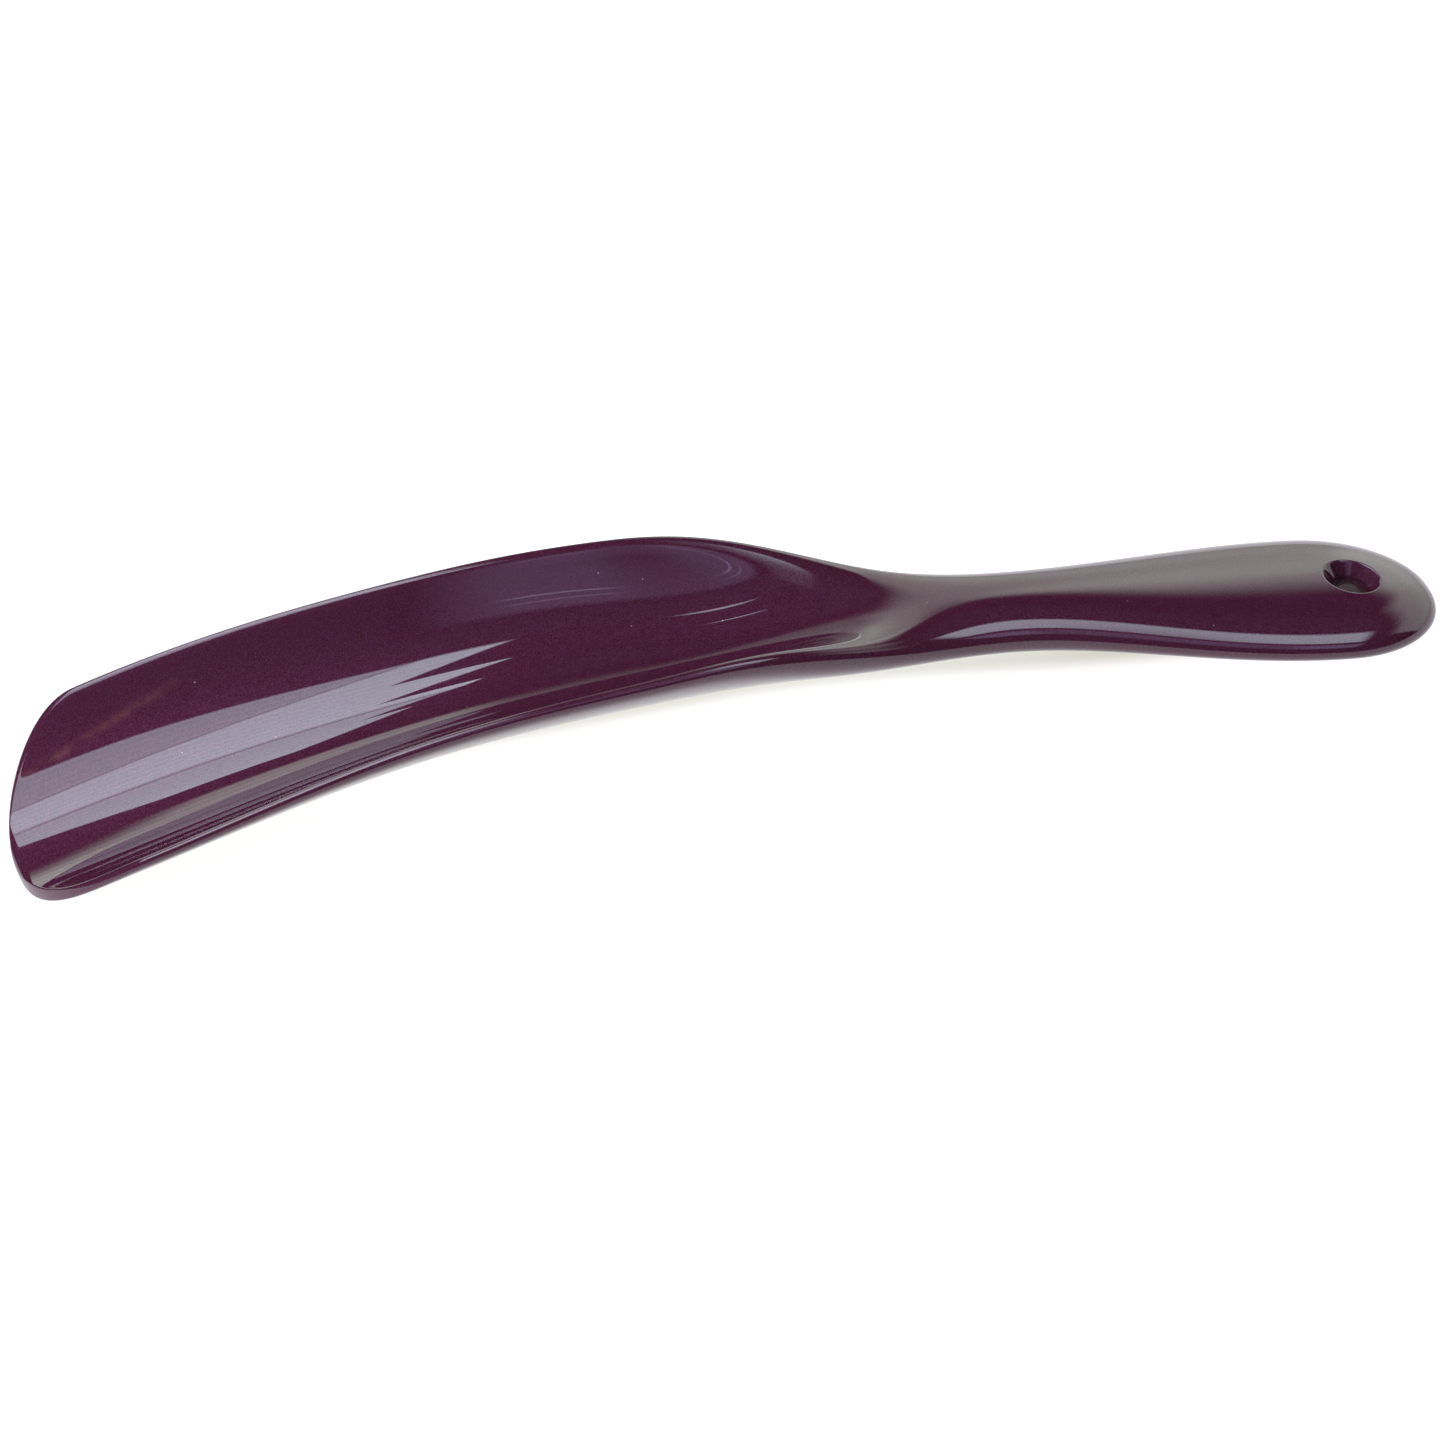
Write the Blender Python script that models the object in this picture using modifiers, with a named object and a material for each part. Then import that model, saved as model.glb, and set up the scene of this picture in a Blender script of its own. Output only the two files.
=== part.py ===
"""A shoehorn moulded in one piece.

A thin curved blade, hollow side up, runs through a narrow neck into a solid oval grip
with a countersunk hole to hang it by. It lies as it does on a table, standing on the
tip of the blade and the end of the grip. +X runs from the tip to the grip, +Z is up,
and the origin is on the table, under the middle of the shoehorn.
"""

import bmesh
import bpy
import numpy as np

# Lengths, metres. x is measured from the tip of the blade.
BLADE_LENGTH = 0.164        # tip to the narrowest place of the neck
GRIP_LENGTH = 0.076         # from there to the end of the grip

# Widths, seen from above
BLADE_WIDTH = 0.0480        # widest place of the blade
TIP_NARROWING = 0.0010      # how much narrower the tip is, before its corners are rounded
WAIST_NARROWING = 0.0048    # how much narrower the blade is where its sides draw in
HEEL_NARROWING = 0.0088     # how much narrower it is where its sides turn in to the neck
NECK_WIDTH = 0.0192
GRIP_WIDTH = 0.0326         # widest place of the grip
END_NARROWING = 0.0036      # how much narrower the end is, before its corners are rounded

# Heights of the underside above the table, along the centre line
TIP_HEIGHT = -0.0003        # at the tip, before its edge is rounded
FRONT_HEIGHT = 0.0095       # a quarter of the way along the blade
CROWN_HEIGHT = 0.0146       # half way
HEEL_HEIGHT = 0.0142        # three quarters
NECK_HEIGHT = 0.0108
GRIP_HEIGHT = 0.0042        # half way along the grip
END_HEIGHT = -0.0016        # at the end, before the grip thins to its rounded end

# The hollow of the blade
TIP_HOLLOW = 0.0104         # depth across the blade at the tip
HEEL_HOLLOW = 0.0125        # depth where it is deepest
HOLLOW_RUNOUT = 0.065       # the hollow gets shallower over this length ...
HOLLOW_PAST_NECK = 0.003    # ... and is gone this far past the neck
HOLLOW_POWER = 2.22         # 2 is a parabola, higher has a flatter floor

# Thickness
TIP_WALL = 0.0020
NECK_WALL = 0.0029          # the blade's own wall, thickening towards the neck
NECK_THICKNESS = 0.0084
GRIP_THICKNESS = 0.0088
SWELL_LENGTH = 0.070        # the wall swells into the neck over this length

# Rounding. The powers are those of superellipses: 2 is round, higher is squarer.
TIP_ROUNDING = 0.016
TIP_POWER = 2.1
END_ROUNDING = 0.020
END_POWER = 2.25
LIP_ROUNDING = 0.0012       # front edge of the blade, seen from the side
END_TAPER = 0.016           # the grip thins to nothing over this length
RIM_POWER = 44.0            # section of the blade: a sheet with a rounded rim
GRIP_POWER = 2.28           # section of the grip: an oval

# Hanging hole, square to the grip where it passes through
HOLE_FROM_END = 0.0146
HOLE_DIAMETER = 0.0062
SINK_DIAMETER = 0.0100      # of the countersink in each face
SINK_DEPTH = 0.0023
CUTTER_OVERSHOOT = 0.004    # how far the cutter stands out of the grip on both sides

# Fineness of the mesh
BODY_RINGS = 56
END_RINGS = 10
RING_POINTS = 40
HOLE_POINTS = 32

LENGTH = BLADE_LENGTH + GRIP_LENGTH
HEEL_WIDTH = BLADE_WIDTH - HEEL_NARROWING
HOLE_X = LENGTH - HOLE_FROM_END


def on_blade(share):
    """Distance from the tip of a place part of the way along the blade."""
    return BLADE_LENGTH * share


def on_grip(share):
    """Distance from the tip of a place part of the way from the neck to the end."""
    return BLADE_LENGTH + GRIP_LENGTH * share


OUTLINE = (
    (on_blade(0), BLADE_WIDTH - TIP_NARROWING),
    (on_blade(1 / 8), BLADE_WIDTH),
    (on_blade(0.40), BLADE_WIDTH - WAIST_NARROWING),
    (on_blade(0.65), HEEL_WIDTH),
    (on_blade(0.82), (HEEL_WIDTH + NECK_WIDTH) / 2),
    (on_blade(1), NECK_WIDTH),
    (on_grip(0.35), (NECK_WIDTH + GRIP_WIDTH) / 2),
    (on_grip(0.70), GRIP_WIDTH),
    (on_grip(1), GRIP_WIDTH - END_NARROWING),
)

ARCH = (
    (on_blade(0), TIP_HEIGHT),
    (on_blade(1 / 4), FRONT_HEIGHT),
    (on_blade(1 / 2), CROWN_HEIGHT),
    (on_blade(3 / 4), HEEL_HEIGHT),
    (on_blade(1), NECK_HEIGHT),
    (on_grip(1 / 2), GRIP_HEIGHT),
    (on_grip(1), END_HEIGHT),
)


def smooth_curve(points, x):
    """Natural cubic spline through the points, read at x."""
    places, values = np.array(points).T
    spans = np.diff(places)
    count = len(places)
    system = np.eye(count)
    target = np.zeros(count)
    for i in range(1, count - 1):
        before, after = spans[i - 1], spans[i]
        system[i, i - 1:i + 2] = before, 2 * (before + after), after
        target[i] = 6 * ((values[i + 1] - values[i]) / after - (values[i] - values[i - 1]) / before)
    bend = np.linalg.solve(system, target)
    i = np.clip(np.searchsorted(places, x) - 1, 0, count - 2)
    span = spans[i]
    left = places[i + 1] - x
    right = x - places[i]
    curved = (bend[i] * left**3 + bend[i + 1] * right**3) / (6 * span)
    straight_left = (values[i] / span - bend[i] * span / 6) * left
    straight_right = (values[i + 1] / span - bend[i + 1] * span / 6) * right
    return curved + straight_left + straight_right


def ease(x, start, end):
    """0 before start, 1 after end, with a soft S between."""
    share = np.clip((x - start) / (end - start), 0, 1)
    return share**3 * (share * (6 * share - 15) + 10)


def rounding(distance, length, power):
    """Superellipse quarter: 0 at the very edge, 1 from one length in."""
    share = np.clip(1 - distance / length, 0, 1)
    return (1 - share**power) ** (1 / power)


def straight_side(x):
    """Distance from the centre line to the side, before the two ends are rounded."""
    return smooth_curve(OUTLINE, x) / 2


def rounded_side(x):
    tip = rounding(x, TIP_ROUNDING, TIP_POWER)
    end = rounding(LENGTH - x, END_ROUNDING, END_POWER)
    return straight_side(x) * tip * end


def hollow_depth(x):
    """The hollow deepens from the tip to the start of its run-out, then closes."""
    runout_end = BLADE_LENGTH + HOLLOW_PAST_NECK
    runout_start = runout_end - HOLLOW_RUNOUT
    left = np.clip(1 - x / runout_start, 0, 1)
    deepening = 1 - left**2
    closing = ease(x, runout_start, runout_end)
    return (TIP_HOLLOW + (HEEL_HOLLOW - TIP_HOLLOW) * deepening) * (1 - closing)


def full_thickness(x):
    """Thickness on the centre line, before the two ends are rounded."""
    wall = TIP_WALL + (NECK_WALL - TIP_WALL) * ease(x, 0, BLADE_LENGTH)
    swell = (NECK_THICKNESS - NECK_WALL) * ease(x, BLADE_LENGTH - SWELL_LENGTH, BLADE_LENGTH)
    grip = (GRIP_THICKNESS - NECK_THICKNESS) * ease(x, BLADE_LENGTH, LENGTH)
    return wall + swell + grip


def thickness(x):
    lip = rounding(x, LIP_ROUNDING, 2)
    end = rounding(LENGTH - x, END_TAPER, END_POWER)
    return full_thickness(x) * lip * end


def middle_height(x):
    """Height of the middle of the thickness, along the centre line."""
    return smooth_curve(ARCH, x) + full_thickness(x) / 2


def grip_pitch():
    """How far the grip leans down towards its end where the hole is, in radians."""
    before, after = HOLE_X - SINK_DIAMETER / 2, HOLE_X + SINK_DIAMETER / 2
    return np.arctan2(middle_height(before) - middle_height(after), after - before)


def section_power(x):
    """From a sheet with a rounded rim on the blade to an oval on the grip."""
    change = ease(x, BLADE_LENGTH - SWELL_LENGTH, BLADE_LENGTH)
    return RIM_POWER ** (1 - change) * GRIP_POWER**change


def section(x):
    """The closed ring of points around the shoehorn at x.

    The middle of the thickness is a hollow curve, and half the thickness is set off
    from it on each side, square to the curve.
    """
    angle = 2 * np.pi * np.arange(RING_POINTS) / RING_POINTS
    across = np.cos(angle)
    bulge = np.sqrt(1 - np.abs(across) ** section_power(x))
    offset = thickness(x) / 2 * bulge * np.sign(np.sin(angle))
    reach = np.abs(across) * rounded_side(x) / straight_side(x)
    rise = hollow_depth(x) * reach**HOLLOW_POWER
    steepness = hollow_depth(x) * HOLLOW_POWER * reach ** (HOLLOW_POWER - 1) / straight_side(x)
    slope = steepness * np.sign(across)
    stretch = np.sqrt(1 + slope**2)
    y = rounded_side(x) * across - offset * slope / stretch
    z = middle_height(x) + rise + offset / stretch
    return np.stack([np.full_like(y, x), y, z], axis=1)


def ring_places():
    """Rings close together at the two rounded ends, even between them."""
    turn = np.linspace(0, np.pi / 2, END_RINGS + 1)
    tip = TIP_ROUNDING * (1 - np.cos(turn)) ** 1.5
    end = LENGTH - END_ROUNDING * (1 - np.cos(turn)) ** 1.5
    body = np.linspace(TIP_ROUNDING, LENGTH - END_ROUNDING, BODY_RINGS)
    return np.concatenate([tip[1:-1], body, end[-2:0:-1]])


def end_point(x):
    """The single point where the loft closes at an end."""
    return (x, 0, middle_height(x))


def to_table(places):
    """Move points from measures along the shoehorn to the frame it lies in."""
    return np.array(places) - (LENGTH / 2, 0, 0)


def make_material(name, color, roughness, metallic):
    material = bpy.data.materials.new(name)
    material.use_nodes = True
    shader = material.node_tree.nodes["Principled BSDF"]
    shader.inputs["Base Color"].default_value = (*color, 1)
    shader.inputs["Roughness"].default_value = roughness
    shader.inputs["Metallic"].default_value = metallic
    shader.inputs["Coat Weight"].default_value = 1
    return material


def make_collection(name):
    collection = bpy.data.collections.new(name)
    bpy.context.scene.collection.children.link(collection)
    return collection


def make_body(collection):
    """Loft of unlike sections, a thin hollow sheet at one end and a solid oval at the other."""
    bm = bmesh.new()
    rings = [[bm.verts.new(point) for point in to_table(section(x))] for x in ring_places()]
    for ring, following in zip(rings, rings[1:]):
        for i in range(RING_POINTS):
            j = (i + 1) % RING_POINTS
            bm.faces.new((ring[i], ring[j], following[j], following[i]))
    for ring, x in ((rings[0], 0), (rings[-1], LENGTH)):
        point = bm.verts.new(to_table(end_point(x)))
        for i in range(RING_POINTS):
            bm.faces.new((ring[i], ring[(i + 1) % RING_POINTS], point))
    bmesh.ops.recalc_face_normals(bm, faces=bm.faces)
    mesh = bpy.data.meshes.new("shoehorn_body")
    bm.to_mesh(mesh)
    bm.free()
    mesh.shade_smooth()
    body = bpy.data.objects.new("shoehorn_body", mesh)
    collection.objects.link(body)
    return body


def make_hole_cutter(collection):
    """Turned cutter: a straight bore that opens into a countersink on both faces."""
    pitch = grip_pitch()
    face = thickness(HOLE_X) / 2 * np.cos(pitch)
    bore = HOLE_DIAMETER / 2
    flare = (SINK_DIAMETER / 2 - bore) / SINK_DEPTH
    top = face + CUTTER_OVERSHOOT
    profile = [
        (0, top),
        (bore + flare * (SINK_DEPTH + CUTTER_OVERSHOOT), top),
        (bore, face - SINK_DEPTH),
        (bore, SINK_DEPTH - face),
        (bore + flare * (SINK_DEPTH + CUTTER_OVERSHOOT), -top),
        (0, -top),
    ]
    mesh = bpy.data.meshes.new("hole_cutter")
    edges = [(i, i + 1) for i in range(len(profile) - 1)]
    mesh.from_pydata([(radius, 0, height) for radius, height in profile], edges, [])
    cutter = bpy.data.objects.new("hole_cutter", mesh)
    collection.objects.link(cutter)
    cutter.location = to_table((HOLE_X, 0, middle_height(HOLE_X)))
    cutter.rotation_euler.y = pitch
    cutter.display_type = "WIRE"
    cutter.hide_render = True
    turn = cutter.modifiers.new("turn", "SCREW")
    turn.steps = HOLE_POINTS
    turn.render_steps = HOLE_POINTS
    turn.use_merge_vertices = True
    turn.merge_threshold = 0.00001
    return cutter


def cut(body, cutter):
    boolean = body.modifiers.new("hanging_hole", "BOOLEAN")
    boolean.operation = "DIFFERENCE"
    boolean.solver = "EXACT"
    boolean.object = cutter


def set_down(body, cutter):
    """Move the finished shoehorn up or down until it just touches the table."""
    finished = body.evaluated_get(bpy.context.evaluated_depsgraph_get())
    lowest = min(vert.co.z for vert in finished.data.vertices)
    for thing in (body, cutter):
        thing.location.z -= lowest


def main():
    for thing in list(bpy.data.objects):
        bpy.data.objects.remove(thing, do_unlink=True)
    parts = make_collection("shoehorn")
    cutters = make_collection("cutters")
    body = make_body(parts)
    body.data.materials.append(make_material("plum_lacquer", (0.085, 0.018, 0.055), 0.28, 0.55))
    cutter = make_hole_cutter(cutters)
    cut(body, cutter)
    set_down(body, cutter)


main()
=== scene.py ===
"""The shoehorn as it looks: one moulding in plum metallic lacquer, lying on a pale table.

Measures are in metres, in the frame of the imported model: +X from the tip of the blade
to the end of the grip, +Z up, with the table at zero.
"""

from math import atan2, cos, pi, radians, sin

import bpy
import numpy as np
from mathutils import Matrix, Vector


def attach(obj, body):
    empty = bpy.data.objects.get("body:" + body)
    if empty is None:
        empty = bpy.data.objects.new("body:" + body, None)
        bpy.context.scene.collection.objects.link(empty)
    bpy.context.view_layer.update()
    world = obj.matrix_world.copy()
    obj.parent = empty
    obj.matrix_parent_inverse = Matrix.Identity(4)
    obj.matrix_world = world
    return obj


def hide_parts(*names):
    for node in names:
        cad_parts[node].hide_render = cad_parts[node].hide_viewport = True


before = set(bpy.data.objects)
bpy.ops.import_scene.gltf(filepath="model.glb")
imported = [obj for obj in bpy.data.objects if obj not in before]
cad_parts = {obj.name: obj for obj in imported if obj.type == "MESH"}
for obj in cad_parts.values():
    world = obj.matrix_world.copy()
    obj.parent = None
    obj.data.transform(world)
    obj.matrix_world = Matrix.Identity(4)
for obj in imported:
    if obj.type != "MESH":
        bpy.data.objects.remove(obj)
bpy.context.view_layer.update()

NODE = "shoehorn_body"

# ---------------------------------------------------------------- the moulding's sizes

BLADE_LENGTH = 0.164
GRIP_LENGTH = 0.076

BLADE_WIDTH = 0.0480
TIP_NARROWING = 0.0010
WAIST_NARROWING = 0.0048
HEEL_NARROWING = 0.0088
NECK_WIDTH = 0.0192
GRIP_WIDTH = 0.0326
END_NARROWING = 0.0036

TIP_HEIGHT = -0.0003
FRONT_HEIGHT = 0.0095
CROWN_HEIGHT = 0.0146
HEEL_HEIGHT = 0.0142
NECK_HEIGHT = 0.0108
GRIP_HEIGHT = 0.0042
END_HEIGHT = -0.0016

TIP_HOLLOW = 0.0104
HEEL_HOLLOW = 0.0125
HOLLOW_RUNOUT = 0.065
HOLLOW_PAST_NECK = 0.003
HOLLOW_POWER = 2.22

TIP_WALL = 0.0020
NECK_WALL = 0.0029
NECK_THICKNESS = 0.0084
GRIP_THICKNESS = 0.0088
SWELL_LENGTH = 0.070

TIP_ROUNDING = 0.016
TIP_POWER = 2.1
END_ROUNDING = 0.020
END_POWER = 2.25
LIP_ROUNDING = 0.0012
END_TAPER = 0.016
RIM_POWER = 44.0
GRIP_POWER = 2.28

HOLE_FROM_END = 0.0146
BORE_RADIUS = 0.0031
SINK_RADIUS = 0.0050
SINK_DEPTH = 0.0023
SINK_EDGE_SOFTNESS = 0.0001     # how softly the countersink rolls into the grip
BORE_EDGE_SOFTNESS = 0.00015    # how softly the bore rolls into the countersink

LENGTH = BLADE_LENGTH + GRIP_LENGTH
HEEL_WIDTH = BLADE_WIDTH - HEEL_NARROWING
HOLE_X = LENGTH - HOLE_FROM_END

# Counts for the mesh
RINGS = 340
RING_POINTS = 160
PATCH_REACH = 0.0088            # so far round the hole, the mesh makes way for the hole's rings
ROUND_RADIUS = SINK_RADIUS * 1.2    # from here inwards, the hole's rings are circles
PATCH_RINGS = 7
SINK_RINGS = 18
EDGE_RINGS = 5
BORE_RINGS = 8


def on_blade(share):
    return BLADE_LENGTH * share


def on_grip(share):
    return BLADE_LENGTH + GRIP_LENGTH * share


OUTLINE = (
    (on_blade(0), BLADE_WIDTH - TIP_NARROWING),
    (on_blade(1 / 8), BLADE_WIDTH),
    (on_blade(0.40), BLADE_WIDTH - WAIST_NARROWING),
    (on_blade(0.65), HEEL_WIDTH),
    (on_blade(0.82), (HEEL_WIDTH + NECK_WIDTH) / 2),
    (on_blade(1), NECK_WIDTH),
    (on_grip(0.35), (NECK_WIDTH + GRIP_WIDTH) / 2),
    (on_grip(0.70), GRIP_WIDTH),
    (on_grip(1), GRIP_WIDTH - END_NARROWING),
)

ARCH = (
    (on_blade(0), TIP_HEIGHT),
    (on_blade(1 / 4), FRONT_HEIGHT),
    (on_blade(1 / 2), CROWN_HEIGHT),
    (on_blade(3 / 4), HEEL_HEIGHT),
    (on_blade(1), NECK_HEIGHT),
    (on_grip(1 / 2), GRIP_HEIGHT),
    (on_grip(1), END_HEIGHT),
)


# ------------------------------------------------------------------- the moulding's form

def smooth_curve(points, x):
    """Natural cubic spline through the points, read at x."""
    places, values = np.array(points).T
    spans = np.diff(places)
    count = len(places)
    system = np.eye(count)
    target = np.zeros(count)
    for i in range(1, count - 1):
        before, after = spans[i - 1], spans[i]
        system[i, i - 1:i + 2] = before, 2 * (before + after), after
        target[i] = 6 * ((values[i + 1] - values[i]) / after - (values[i] - values[i - 1]) / before)
    bend = np.linalg.solve(system, target)
    i = np.clip(np.searchsorted(places, x) - 1, 0, count - 2)
    span = spans[i]
    left = places[i + 1] - x
    right = x - places[i]
    curved = (bend[i] * left**3 + bend[i + 1] * right**3) / (6 * span)
    straight_left = (values[i] / span - bend[i] * span / 6) * left
    straight_right = (values[i + 1] / span - bend[i + 1] * span / 6) * right
    return curved + straight_left + straight_right


def ease(x, start, end):
    """0 before start, 1 after end, with a soft S between."""
    share = np.clip((x - start) / (end - start), 0, 1)
    return share**3 * (share * (6 * share - 15) + 10)


def rounding(distance, length, power):
    """Superellipse quarter: 0 at the very edge, 1 from one length in."""
    share = np.clip(1 - distance / length, 0, 1)
    return (1 - share**power) ** (1 / power)


def straight_side(x):
    return smooth_curve(OUTLINE, x) / 2


def rounded_side(x):
    tip = rounding(x, TIP_ROUNDING, TIP_POWER)
    end = rounding(LENGTH - x, END_ROUNDING, END_POWER)
    return straight_side(x) * tip * end


def hollow_depth(x):
    runout_end = BLADE_LENGTH + HOLLOW_PAST_NECK
    runout_start = runout_end - HOLLOW_RUNOUT
    left = np.clip(1 - x / runout_start, 0, 1)
    deepening = 1 - left**2
    closing = ease(x, runout_start, runout_end)
    return (TIP_HOLLOW + (HEEL_HOLLOW - TIP_HOLLOW) * deepening) * (1 - closing)


def full_thickness(x):
    wall = TIP_WALL + (NECK_WALL - TIP_WALL) * ease(x, 0, BLADE_LENGTH)
    swell = (NECK_THICKNESS - NECK_WALL) * ease(x, BLADE_LENGTH - SWELL_LENGTH, BLADE_LENGTH)
    grip = (GRIP_THICKNESS - NECK_THICKNESS) * ease(x, BLADE_LENGTH, LENGTH)
    return wall + swell + grip


def thickness(x):
    lip = rounding(x, LIP_ROUNDING, 2)
    end = rounding(LENGTH - x, END_TAPER, END_POWER)
    return full_thickness(x) * lip * end


def middle_height(x):
    return smooth_curve(ARCH, x) + full_thickness(x) / 2


def section_power(x):
    change = ease(x, BLADE_LENGTH - SWELL_LENGTH, BLADE_LENGTH)
    return RIM_POWER ** (1 - change) * GRIP_POWER**change


def moulding_rings():
    """Rings round the moulding, closer together towards its two ends."""
    turn = np.linspace(0, pi, RINGS + 2)[1:-1]
    x = (LENGTH / 2 * (1 - np.cos(turn)))[:, None]
    angle = 2 * pi * np.arange(RING_POINTS) / RING_POINTS
    across = np.cos(angle)[None, :]
    bulge = np.sqrt(1 - np.abs(across) ** section_power(x))
    offset = thickness(x) / 2 * bulge * np.sign(np.round(np.sin(angle), 9))[None, :]
    reach = np.abs(across) * rounded_side(x) / straight_side(x)
    rise = hollow_depth(x) * reach**HOLLOW_POWER
    steepness = hollow_depth(x) * HOLLOW_POWER * reach ** (HOLLOW_POWER - 1) / straight_side(x)
    slope = steepness * np.sign(across)
    stretch = np.sqrt(1 + slope**2)
    y = rounded_side(x) * across - offset * slope / stretch
    z = middle_height(x) + rise + offset / stretch
    return np.stack([np.broadcast_to(x, y.shape), y, z], axis=2)


def grip_face(x, y, up):
    """Height of the grip's upper (up = 1) or lower (up = -1) face over the point x, y."""
    across = np.abs(y / rounded_side(x))
    return middle_height(x) + up * thickness(x) / 2 * np.sqrt(1 - across**GRIP_POWER)


def soft_lower(a, b, softness):
    """The lower of two heights, rolled into each other where they cross."""
    share = np.clip(0.5 + 0.5 * (b - a) / softness, 0, 1)
    return b + (a - b) * share - softness * share * (1 - share)


def grip_pitch():
    """How far the grip leans down towards its end where the hole is."""
    before, after = HOLE_X - SINK_RADIUS, HOLE_X + SINK_RADIUS
    return atan2(middle_height(before) - middle_height(after), after - before)


def hole_rows(outer, up):
    """Rings of points from the mesh round the hole, down the countersink, to mid-bore."""
    pitch = grip_pitch()
    axis = up * np.array((sin(pitch), 0, cos(pitch)))
    along = np.array((cos(pitch), 0, -sin(pitch)))
    sideways = np.array((0, 1, 0))
    centre = np.array((HOLE_X, 0, middle_height(HOLE_X)))
    face = thickness(HOLE_X) / 2 * cos(pitch)
    steepness = SINK_DEPTH / (SINK_RADIUS - BORE_RADIUS)
    right, front = (outer - centre) @ along, (outer - centre) @ sideways
    far = np.hypot(right, front)
    cosine, sine = (right / far)[:, None], (front / far)[:, None]
    rows = []

    def face_rise(foot):
        """How far along the axis the grip's face is from a point in the middle of the grip."""
        rise = np.full(len(foot), face)
        for _ in range(6):
            reached = foot + rise[:, None] * axis
            rise += (grip_face(reached[:, 0], reached[:, 1], up) - reached[:, 2]) / axis[2]
        return rise

    def add(radius, rise=None):
        radius = np.broadcast_to(radius, far.shape)
        foot = centre + radius[:, None] * (cosine * along + sine * sideways)
        if rise is None:
            cone = face - SINK_DEPTH + (radius - BORE_RADIUS) * steepness
            rise = soft_lower(face_rise(foot), cone, SINK_EDGE_SOFTNESS)
        rise = np.broadcast_to(rise, far.shape)
        rows.append(foot + rise[:, None] * axis)

    for share in np.linspace(0, 1, PATCH_RINGS + 1)[1:]:
        add(far + (ROUND_RADIUS - far) * share)
    cone_end = BORE_RADIUS + BORE_EDGE_SOFTNESS
    for radius in np.linspace(ROUND_RADIUS, cone_end, SINK_RINGS + 1)[1:]:
        add(radius)
    corner = face - SINK_DEPTH
    start = corner + BORE_EDGE_SOFTNESS * steepness
    finish = corner - BORE_EDGE_SOFTNESS
    for share in np.linspace(0, 1, EDGE_RINGS + 1)[1:]:
        rest = 1 - share
        radius = rest**2 * cone_end + (1 - rest**2) * BORE_RADIUS
        add(radius, rest**2 * start + 2 * share * rest * corner + share**2 * finish)
    for share in np.linspace(0, 1, BORE_RINGS + 1)[1:]:
        add(BORE_RADIUS, finish * (1 - share))
    return rows


def patch_loop(rows, columns):
    """Grid places round the edge of a block of the mesh, in order."""
    first, last = rows
    left, right = columns
    loop = [(first, j) for j in range(left, right)]
    loop += [(i, right) for i in range(first, last)]
    loop += [(last, j) for j in range(right, left, -1)]
    loop += [(i, left) for i in range(last, first, -1)]
    return loop


def moulding_mesh():
    """Closed mesh of the moulding, with the hole's rings let into both faces of the grip."""
    rings = moulding_rings()
    count = RING_POINTS
    x = rings[:, 0, 0]
    near = np.nonzero(np.abs(x - HOLE_X) < PATCH_REACH)[0]
    rows = (near[0], near[-1])
    quarter = count // 4
    spread = quarter - round(np.arccos(PATCH_REACH / rounded_side(HOLE_X)) / (2 * pi / count))
    upper = (quarter - spread, quarter + spread)
    lower = (3 * quarter - spread, 3 * quarter + spread)

    points = [rings.reshape(-1, 3)]
    total = RINGS * count
    faces = []

    def in_block(i, j, block):
        return rows[0] <= i < rows[1] and block[0] <= j < block[1]

    for i in range(RINGS - 1):
        for j in range(count):
            if in_block(i, j, upper) or in_block(i, j, lower):
                continue
            k = (j + 1) % count
            faces.append((i * count + j, i * count + k, (i + 1) * count + k, (i + 1) * count + j))

    for row, place in ((0, 0.0), (RINGS - 1, LENGTH)):
        points.append(np.array([[place, 0, middle_height(place)]]))
        for j in range(count):
            faces.append((row * count + j, row * count + (j + 1) % count, total))
        total += 1

    mid_bore = []
    for up in (1, -1):
        loop = patch_loop(rows, upper)
        if up < 0:
            loop = [(i, (count - j) % count) for i, j in loop]
        indices = [i * count + j for i, j in loop]
        outer = rings.reshape(-1, 3)[indices]
        rows_down = hole_rows(outer, up)
        for row in rows_down if up > 0 else rows_down[:-1]:
            points.append(row)
            following = list(range(total, total + len(row)))
            total += len(row)
            for a in range(len(row)):
                b = (a + 1) % len(row)
                faces.append((indices[a], indices[b], following[b], following[a]))
            indices = following
        mid_bore.append(indices)
    above, below = mid_bore
    for a in range(len(above)):
        b = (a + 1) % len(above)
        faces.append((above[a], above[b], below[b], below[a]))

    vertices = np.concatenate(points) - (LENGTH / 2, 0, 0)
    vertices[:, 2] -= vertices[:, 2].min()
    mesh = bpy.data.meshes.new("lacquered_moulding")
    mesh.from_pydata(vertices.tolist(), [], faces)
    return mesh


def make_moulding(material):
    mesh = moulding_mesh()
    moulding = bpy.data.objects.new("lacquered_moulding", mesh)
    bpy.context.scene.collection.objects.link(moulding)
    bpy.context.view_layer.objects.active = moulding
    moulding.select_set(True)
    bpy.ops.object.mode_set(mode="EDIT")
    bpy.ops.mesh.select_all(action="SELECT")
    bpy.ops.mesh.normals_make_consistent(inside=False)
    bpy.ops.object.mode_set(mode="OBJECT")
    mesh.shade_smooth()
    mesh.materials.append(material)
    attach(moulding, "root")
    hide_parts(NODE)


# --------------------------------------------------------------------------- shader maths

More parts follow.
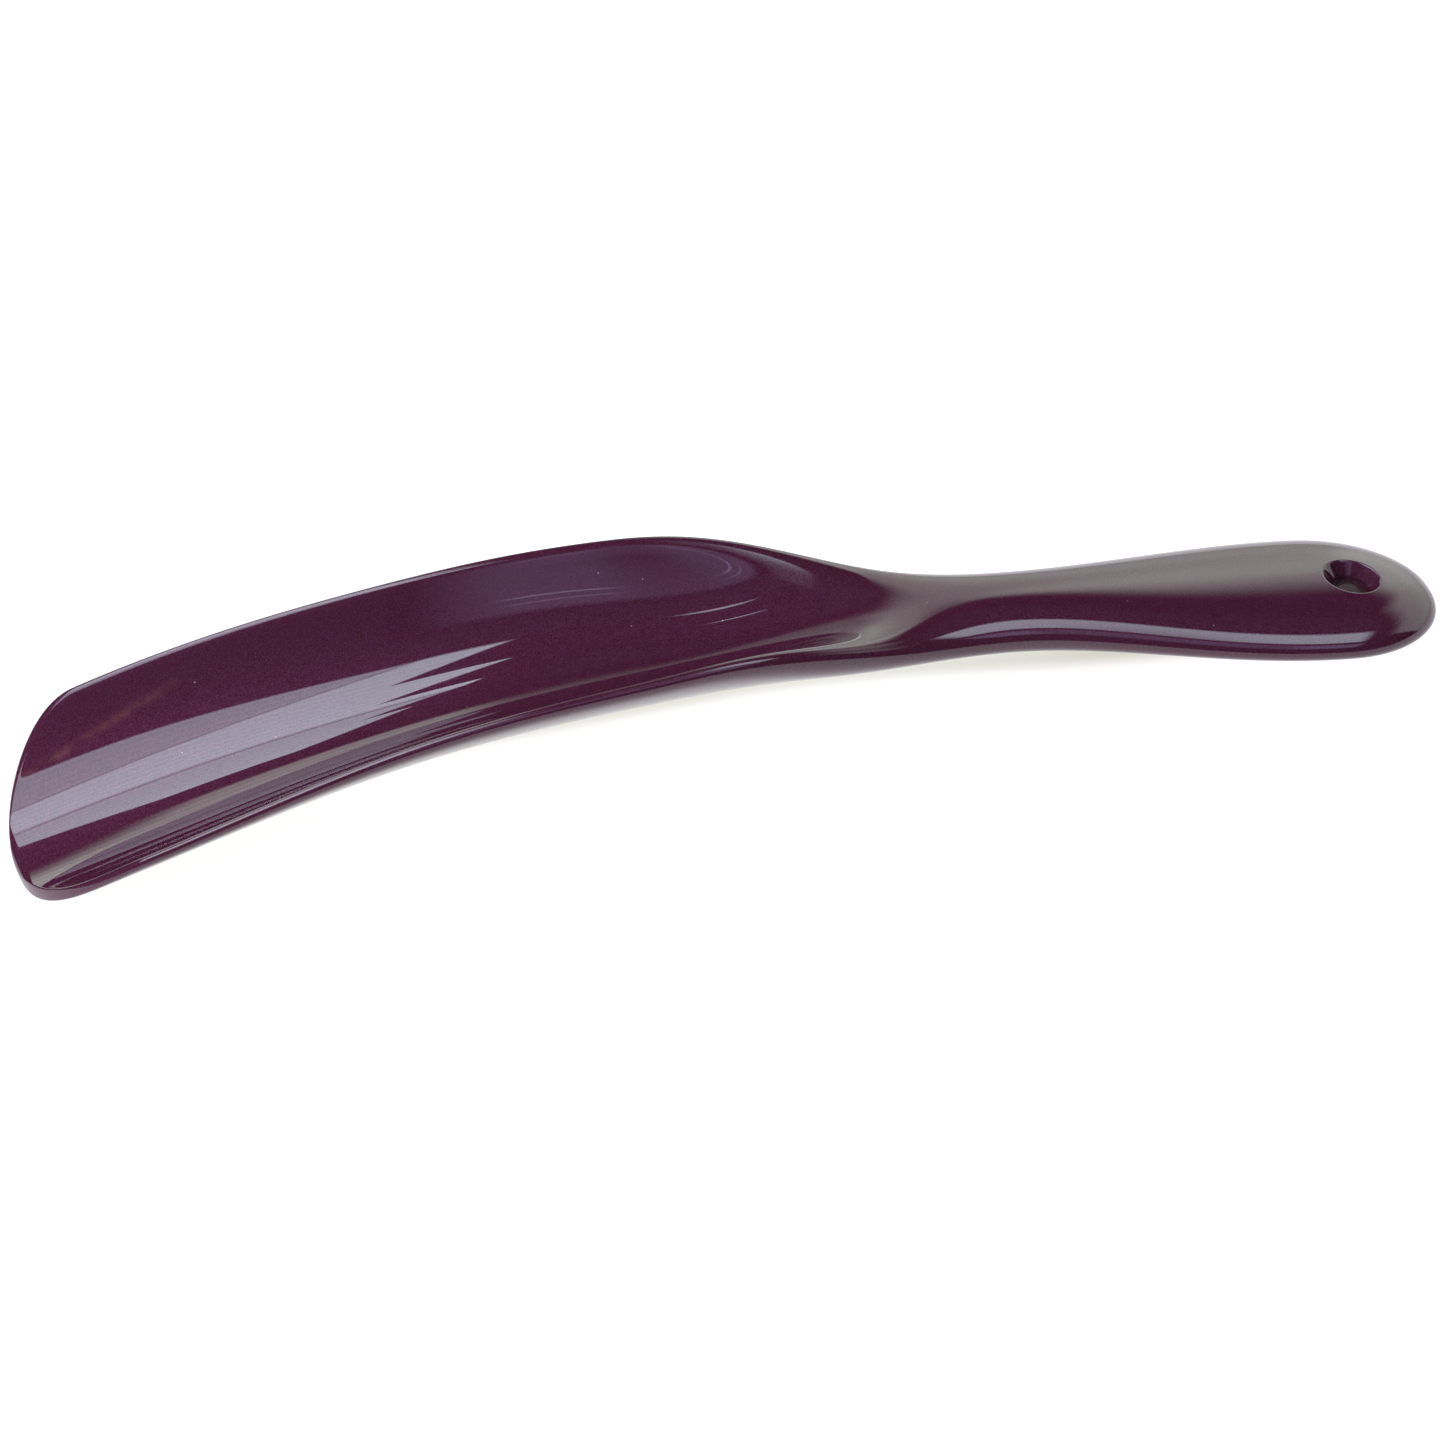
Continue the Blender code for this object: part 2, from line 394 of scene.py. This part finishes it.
class Wire:
    """A shader value that Python's operators can work on."""

    def __init__(self, nodes, socket):
        self.nodes = nodes
        self.socket = socket

    def _math(self, operation, first, second):
        return self.nodes.add("ShaderNodeMath", {"operation": operation}, {0: first, 1: second})[0]

    def __add__(self, other):
        return self._math("ADD", self, other)

    def __radd__(self, other):
        return self._math("ADD", other, self)

    def __sub__(self, other):
        return self._math("SUBTRACT", self, other)

    def __rsub__(self, other):
        return self._math("SUBTRACT", other, self)

    def __mul__(self, other):
        return self._math("MULTIPLY", self, other)

    def __rmul__(self, other):
        return self._math("MULTIPLY", other, self)

    def __truediv__(self, other):
        return self._math("DIVIDE", self, other)

    def above(self, limit):
        return self._math("GREATER_THAN", self, limit)

    def angle_from(self, other):
        return self._math("ARCTAN2", self, other)

    def fraction(self):
        return self._math("FRACT", self, 0.0)

    def sine(self):
        return self._math("SINE", self, 0.0)

    def size(self):
        return self._math("ABSOLUTE", self, 0.0)

    def rise(self, low, high):
        """0 below low, 1 above high, with a soft S between. The limits may be wires."""
        settings = {"interpolation_type": "SMOOTHSTEP"}
        sockets = {"Value": self, "From Min": low, "From Max": high}
        return self.nodes.add("ShaderNodeMapRange", settings, sockets)[0]

    def inside(self, low, high, softness):
        """1 between low and high, with soft edges."""
        before = self.rise(low - softness / 2, low + softness / 2)
        after = self.rise(high - softness / 2, high + softness / 2)
        return before * (1 - after)

    def line(self, middle, width):
        """1 on a thin line at middle, falling to 0 at its edges."""
        return 1 - (self - middle).size().rise(0.0, width)


class Nodes:
    """The nodes of one material or world."""

    def __init__(self, tree):
        self.tree = tree
        tree.nodes.clear()

    def add(self, kind, settings=None, inputs=None):
        """Add a node, set it up, feed its sockets, and return its outputs as wires."""
        node = self.tree.nodes.new(kind)
        for name, value in (settings or {}).items():
            setattr(node, name, value)
        for name, value in (inputs or {}).items():
            socket = node.inputs[name]
            if isinstance(value, Wire):
                self.tree.links.new(value.socket, socket)
            else:
                socket.default_value = value
        return [Wire(self, socket) for socket in node.outputs]

    def mix(self, share, first, second):
        """Mix two colours."""
        settings = {"data_type": "RGBA"}
        sockets = {0: share, 6: first, 7: second}
        return self.add("ShaderNodeMix", settings, sockets)[2]

    def vector(self, operation, first, second):
        settings = {"operation": operation}
        return self.add("ShaderNodeVectorMath", settings, {0: first, 1: second})[0]


def new_material(name):
    material = bpy.data.materials.new(name)
    material.use_nodes = True
    return material, Nodes(material.node_tree)


# ------------------------------------------------------------------------------ finishes

PAINT = ((0.034, 0.0046, 0.0096, 1), (0.030, 0.0041, 0.0089, 1))
PURPLE = ((0.092, 0.028, 0.058, 1), (0.084, 0.026, 0.064, 1))
DRIFT_SCALE = 14.0              # of the slow change from one colour of each pair to the other
FLAKE_SCALE = 12000.0           # flakes to a metre
FLAKE_TILT = 0.22               # how far a flake may lean
FLAKE_SHINE = 0.62              # how metallic a flake is
CLOUD_SCALE = 55.0              # of the patches with more flakes and with fewer

SCUFF_COLOR = (0.30, 0.13, 0.075, 1)
SCUFF_PLACE = (-0.104, 0.0175)
SCUFF_SLOPE = 0.16
SCUFF_WIDTH = 0.0011
SCUFF_WAVER = 0.0016
RUB_SCALE = 420.0
DUST_COLOR = (0.30, 0.25, 0.24, 1)
DUST_SCALE = 270.0
DUST_SIZE = (0.020, 0.042)      # in cells: solid to the first radius, gone by the second

TABLE_GRAIN = ((0.29, 0.29, 0.28, 1), (0.31, 0.31, 0.30, 1))
GRAIN_SCALE = 900.0
TABLE_LIT = (1, 1, 0.98, 1)
# painted shade: the table's glow colour under the shoehorn, in place of a cast shadow
TABLE_PAINTED_SHADE = (0.60, 0.58, 0.50, 1)
TABLE_GLOW = 0.96


def noise(nodes, place, scale, detail):
    return nodes.add("ShaderNodeTexNoise", {}, {"Vector": place, "Scale": scale, "Detail": detail})[0]


def scuff_near_tip(nodes, place, x, y):
    """How much of the rubbed streak shows: 0 away from it."""
    rubbed = noise(nodes, place, RUB_SCALE, 4.0)
    middle = SCUFF_PLACE[1] + (x - SCUFF_PLACE[0]) * SCUFF_SLOPE - rubbed * SCUFF_WAVER
    streak = y.line(middle, SCUFF_WIDTH) * x.inside(-0.115, -0.090, 0.012)
    return streak * rubbed.rise(0.35, 0.62) * 0.12


def dust_specks(nodes, place):
    """1 on a speck of dust, 0 between them. Not every cell has one."""
    cells = {"Vector": place, "Scale": DUST_SCALE}
    distance, lot = nodes.add("ShaderNodeTexVoronoi", {"feature": "F1"}, cells)[:2]
    kept = nodes.add("ShaderNodeSeparateColor", {}, {0: lot})[0].above(0.45)
    return (1 - distance.rise(*DUST_SIZE)) * kept


def plum_lacquer():
    """Burgundy paint with purple flake in it, under a clear coat with a scuff and some dust."""
    material, nodes = new_material("plum_lacquer")
    place = nodes.add("ShaderNodeTexCoord")[3]
    normal = nodes.add("ShaderNodeNewGeometry")[1]

    flake_cells = {"Vector": place, "Scale": FLAKE_SCALE}
    flake_color = nodes.add("ShaderNodeTexVoronoi", {"feature": "F1"}, flake_cells)[1]
    lottery = nodes.add("ShaderNodeSeparateColor", {}, {0: flake_color})[0]
    cloud = noise(nodes, place, CLOUD_SCALE, 3.0)
    drift = noise(nodes, place, DRIFT_SCALE, 2.0)
    flake = lottery.rise(0.40 - cloud * 0.10, 0.90)
    base = nodes.mix(flake * 0.85, nodes.mix(drift, *PAINT), nodes.mix(drift, *PURPLE))

    x, y, z = nodes.add("ShaderNodeSeparateXYZ", {}, {0: place})
    base = nodes.mix(scuff_near_tip(nodes, place, x, y), base, SCUFF_COLOR)
    dust = dust_specks(nodes, place)
    base = nodes.mix(dust * 0.8, base, DUST_COLOR)

    centred = nodes.vector("SUBTRACT", flake_color, (0.5, 0.5, 0.5))
    tilt = nodes.vector("MULTIPLY", centred, (FLAKE_TILT, FLAKE_TILT, FLAKE_TILT))
    leaning = nodes.vector("ADD", normal, tilt)
    leaning = nodes.add("ShaderNodeVectorMath", {"operation": "NORMALIZE"}, {0: leaning})[0]

    shader = nodes.add(
        "ShaderNodeBsdfPrincipled",
        {},
        {
            "Base Color": base,
            "Metallic": flake * FLAKE_SHINE * (1 - dust),
            "Roughness": 0.40,
            "Normal": leaning,
            "Specular IOR Level": 0.0,
            "Specular Tint": (0.35, 0.30, 0.40, 1),
            "Coat Weight": 1.0,
            "Coat Roughness": 0.02,
            "Coat IOR": 1.5,
            "Coat Tint": (1, 1, 1, 1),
        },
    )[0]
    nodes.add("ShaderNodeOutputMaterial", {}, {0: shader})
    return material


def painted_shade_under_shoehorn(x, y):
    """1 on the strip of table where shade under the shoehorn is painted into the table's glow, 0
    elsewhere.
    """
    front = 0.0105 - x.rise(0.0, 0.09) * 0.012 - (1 - x.rise(-0.12, -0.06)) * 0.016
    return y.inside(front, 0.022, 0.006) * x.inside(-0.117, 0.114, 0.010)


def table_paper():
    """White table top that glows, so it hardly keeps a shadow, with a painted shade in its glow under
    the shoehorn.
    """
    material, nodes = new_material("table_paper")
    place = nodes.add("ShaderNodeTexCoord")[3]
    color = nodes.mix(noise(nodes, place, GRAIN_SCALE, 2.0), *TABLE_GRAIN)
    x, y, z = nodes.add("ShaderNodeSeparateXYZ", {}, {0: place})
    # painted shade: the glow dims where the shoehorn would shade the table
    glow = nodes.mix(painted_shade_under_shoehorn(x, y), TABLE_LIT, TABLE_PAINTED_SHADE)
    shader = nodes.add(
        "ShaderNodeBsdfPrincipled",
        {},
        {
            "Base Color": color,
            "Roughness": 0.9,
            "Specular IOR Level": 0.1,
            "Emission Color": glow,
            "Emission Strength": TABLE_GLOW,
        },
    )[0]
    nodes.add("ShaderNodeOutputMaterial", {}, {0: shader})
    return material


def light_material(name, tint, glow):
    """A surface that gives light. glow turns a point's x, y, z into its brightness there."""
    material, nodes = new_material(name)
    place = nodes.add("ShaderNodeTexCoord")[3]
    x, y, z = nodes.add("ShaderNodeSeparateXYZ", {}, {0: place})
    strength = glow(x, y, z)
    color = nodes.add("ShaderNodeCombineXYZ", {}, {0: strength, 1: strength, 2: strength})[0]
    color = nodes.vector("MULTIPLY", color, tint)
    shader = nodes.add(
        "ShaderNodeBsdfPrincipled",
        {},
        {
            "Base Color": (0, 0, 0, 1),
            "Roughness": 1.0,
            "Specular IOR Level": 0.0,
            "Emission Color": color,
            "Emission Strength": 1.0,
        },
    )[0]
    nodes.add("ShaderNodeOutputMaterial", {}, {0: shader})
    return material


# --------------------------------------------------------------------------- the studio
# A brightness of 1 is a white that just fills the screen. Places of overhead lights are
# slopes: metres across (u) and away (v) for each metre of height over the table.

CEILING = 1.3
FILL_AZIMUTH = -70.0
FILL_ELEVATION = 30.0
FILL_DISTANCE = 1.4
FILL_SIZE = 0.8
FILL_POWER = 34.0
FILL_TINT = (0.92, 0.88, 1.20)
SWEEP_RADIUS = 1.6
SWEEP_HEIGHT = 1.6
SWEEP_START = -20       # degrees from straight behind the shoehorn
SWEEP_END = 110
SWEEP_STEPS = 60
DAYLIGHT = (0.86, 0.97, 1.12)
HAZE = (0.97, 1.06, 0.97)
DUSK = (0.80, 0.68, 1.15)
ROOM = (0.75, 0.78, 1.0, 1)
ROOM_GLOW = 0.06
TABLE_HALF = 6.0

SLAT_GLOW = 4.4
SLAT_SKEW = 1.05        # how much the nearest gap leans
SLAT_RIB = 0.070        # from one fine rib to the next
SLAT_TOOTH = 0.31       # length of one tooth of the ragged end
SIDE_GLOW = 4.6
DUSK_GLOW = 0.95
DUSK_STRIPS = 2.4
DUSK_CORNER = 1.7
HAZE_GLOW = 2.05
HAZE_TOP = 33.0         # degrees up from the table's middle
HAZE_SLAT = 4.6         # degrees from one slat to the next


def from_angles(azimuth, elevation):
    """Direction from the shoehorn out into the room, in degrees. Azimuth 0 is along -Y."""
    turn, tilt = radians(azimuth), radians(elevation)
    return Vector((sin(turn) * cos(tilt), -cos(turn) * cos(tilt), sin(tilt)))


def stage_piece(name, vertices, faces, material):
    mesh = bpy.data.meshes.new(name)
    mesh.from_pydata(vertices, [], faces)
    mesh.materials.append(material)
    thing = bpy.data.objects.new(name, mesh)
    bpy.context.scene.collection.objects.link(thing)
    return thing


def overhead_light(name, across, away, tint, glow):
    """A flat light over the table, from across[0] to across[1] and away[0] to away[1]."""
    corners = ((across[0], away[0]), (across[1], away[0]), (across[1], away[1]), (across[0], away[1]))
    vertices = [(u * CEILING, v * CEILING, CEILING) for u, v in corners]

    def by_slope(x, y, z):
        return glow(x / CEILING, y / CEILING)

    light = stage_piece(name, vertices, [(0, 1, 2, 3)], light_material(name, tint, by_slope))
    light.visible_camera = False


def slatted_glow(u, v):
    """Three bands of daylight through slats, ragged where the slats end."""
    askew = v + u * SLAT_SKEW
    past_near = v.rise(0.10, 0.25)
    level = (v.inside(-0.10, 0.30, 0.03) * (1 - past_near) + past_near) * SLAT_GLOW
    bands = level + askew.rise(-0.18, -0.12) * 2.8 - v.rise(0.55, 0.68) * 2.0
    gaps = askew.line(-0.14, 0.025) * 0.5 + v.line(0.62, 0.035) * 0.55
    ribs = 1 - (v * (2 * pi / SLAT_RIB)).sine().rise(-1.0, 1.0) * 0.10
    reach = 0.10 - ((v + 0.12) / SLAT_TOOTH).fraction() * 0.16
    end = 1 - u.rise(reach - 0.006, reach + 0.006)
    far_edge = 1.20 - (u + 0.20) * (u + 0.20) * 9.0
    return bands * (1 - gaps) * ribs * end * v.inside(-0.12, far_edge, 0.03)


def side_glow(u, v):
    """The light along the grip, with a faint edge towards the blade."""
    main = u.rise(0.31, 0.60) * (1 - u.rise(0.78, 0.94)) * v.inside(-0.34, 0.14, 0.10)
    faint = u.inside(0.20, 0.40, 0.12) * v.inside(-0.30, 0.08, 0.15) * 0.5
    return main * SIDE_GLOW + faint


def dusk_glow(u, v):
    """A dim evening light in front, with two thin bowed strips and a brighter corner."""
    wide = u.inside(0.04, 0.60, 0.20) * v.rise(-1.18, -0.92) * (1 - v.rise(-0.52, -0.42))
    bow = v + (u - 0.10) * (u - 0.10) * 1.5
    strips = (bow.line(-0.66, 0.016) + bow.line(-0.58, 0.012) * 0.7) * u.inside(0.10, 0.19, 0.05)
    corner = u.inside(0.62, 0.96, 0.14) * v.inside(-1.04, -0.52, 0.16)
    return wide * DUSK_GLOW + strips * DUSK_STRIPS + corner * DUSK_CORNER


def sweep_glow(x, y, z):
    """Haze low on the backdrop, up to a soft, uneven edge, with dips and slats that are dimmer."""
    height = z.angle_from(SWEEP_RADIUS) * (180 / pi)
    turn = x.angle_from(y) * (180 / pi)
    edge = HAZE_TOP + turn.inside(19.0, 31.0, 5.0) * 5.0
    edge = edge - turn.rise(30.0, 36.0) * 5.0 + turn.rise(46.0, 56.0) * 8.0
    softness = 1.6 + turn.rise(0.0, 22.0) * 4.4
    haze = 1 - height.rise(edge - softness, edge + softness)
    low = 0.65 + height.rise(0.0, 12.0) * 0.35
    dip = turn.rise(4.0, 9.0) * (1 - turn.rise(13.0, 18.0)) * 0.72
    dip = dip + turn.inside(15.0, 31.0, 5.0) * 0.34 + turn.rise(40.0, 52.0) * 0.24
    slats = (height / HAZE_SLAT).fraction().line(0.5, 0.10) * (1 - turn.rise(3.0, 14.0)) * 0.55
    return haze * low * (1 - dip) * (1 - slats) * turn.inside(-10.5, 96.0, 5.0) * HAZE_GLOW


def sweep():
    """The curved backdrop."""
    vertices = []
    for i in range(SWEEP_STEPS + 1):
        turn = radians(SWEEP_START + (SWEEP_END - SWEEP_START) * i / SWEEP_STEPS)
        vertices.append((SWEEP_RADIUS * sin(turn), SWEEP_RADIUS * cos(turn), 0))
        vertices.append((SWEEP_RADIUS * sin(turn), SWEEP_RADIUS * cos(turn), SWEEP_HEIGHT))
    faces = [(2 * i, 2 * i + 1, 2 * i + 3, 2 * i + 2) for i in range(SWEEP_STEPS)]
    backdrop = stage_piece("sweep", vertices, faces, light_material("sweep_light", HAZE, sweep_glow))
    backdrop.visible_camera = False


def make_studio():
    """The table, the three lights over it and the backdrop."""
    half = TABLE_HALF
    corners = [(-half, -half, 0), (half, -half, 0), (half, half, 0), (-half, half, 0)]
    stage_piece("table", corners, [(0, 1, 2, 3)], table_paper())
    overhead_light("slatted_light", (-0.80, 0.20), (-0.15, 1.15), DAYLIGHT, slatted_glow)
    overhead_light("side_light", (0.21, 1.06), (-0.40, 0.24), DAYLIGHT, side_glow)
    overhead_light("dusk_light", (-0.08, 1.06), (-1.20, -0.41), DUSK, dusk_glow)
    sweep()


def make_fill():
    """A soft lamp at the left that the lacquer's clear coat doesn't mirror."""
    fill = bpy.data.lights.new("fill", "AREA")
    fill.energy = FILL_POWER
    fill.color = FILL_TINT
    fill.size = FILL_SIZE
    lamp = bpy.data.objects.new("fill", fill)
    lamp.location = FILL_DISTANCE * from_angles(FILL_AZIMUTH, FILL_ELEVATION)
    lamp.rotation_mode = "QUATERNION"
    lamp.rotation_quaternion = (-lamp.location).to_track_quat("-Z", "Y")
    lamp.visible_glossy = False
    bpy.context.scene.collection.objects.link(lamp)


def make_room():
    """A dim room round the table."""
    world = bpy.data.worlds.new("room")
    bpy.context.scene.world = world
    world.use_nodes = True
    nodes = Nodes(world.node_tree)
    dim = nodes.add("ShaderNodeBackground", {}, {0: ROOM, 1: ROOM_GLOW})[0]
    nodes.add("ShaderNodeOutputWorld", {}, {0: dim})


# --------------------------------------------------------------------------- the camera

VIEW_AZIMUTH = -17.46
VIEW_ELEVATION = 36.61
VIEW_DISTANCE = 1.215
SENSOR = 0.036
FRAME_WIDTH = 0.2343        # how wide the picture is at the middle of the shoehorn
SHIFT = (-0.0114, 0.0090)


def make_camera():
    back = from_angles(VIEW_AZIMUTH, VIEW_ELEVATION)
    data = bpy.data.cameras.new("camera")
    data.sensor_width = SENSOR * 1000
    data.lens = SENSOR * 1000 * VIEW_DISTANCE / FRAME_WIDTH
    data.shift_x, data.shift_y = SHIFT
    camera = bpy.data.objects.new("camera", data)
    camera.location = back * VIEW_DISTANCE
    camera.rotation_mode = "QUATERNION"
    camera.rotation_quaternion = (-back).to_track_quat("-Z", "Y")
    bpy.context.scene.collection.objects.link(camera)
    bpy.context.scene.camera = camera


bpy.context.scene.view_settings.view_transform = "Standard"
make_camera()
make_moulding(plum_lacquer())
make_studio()
make_fill()
make_room()
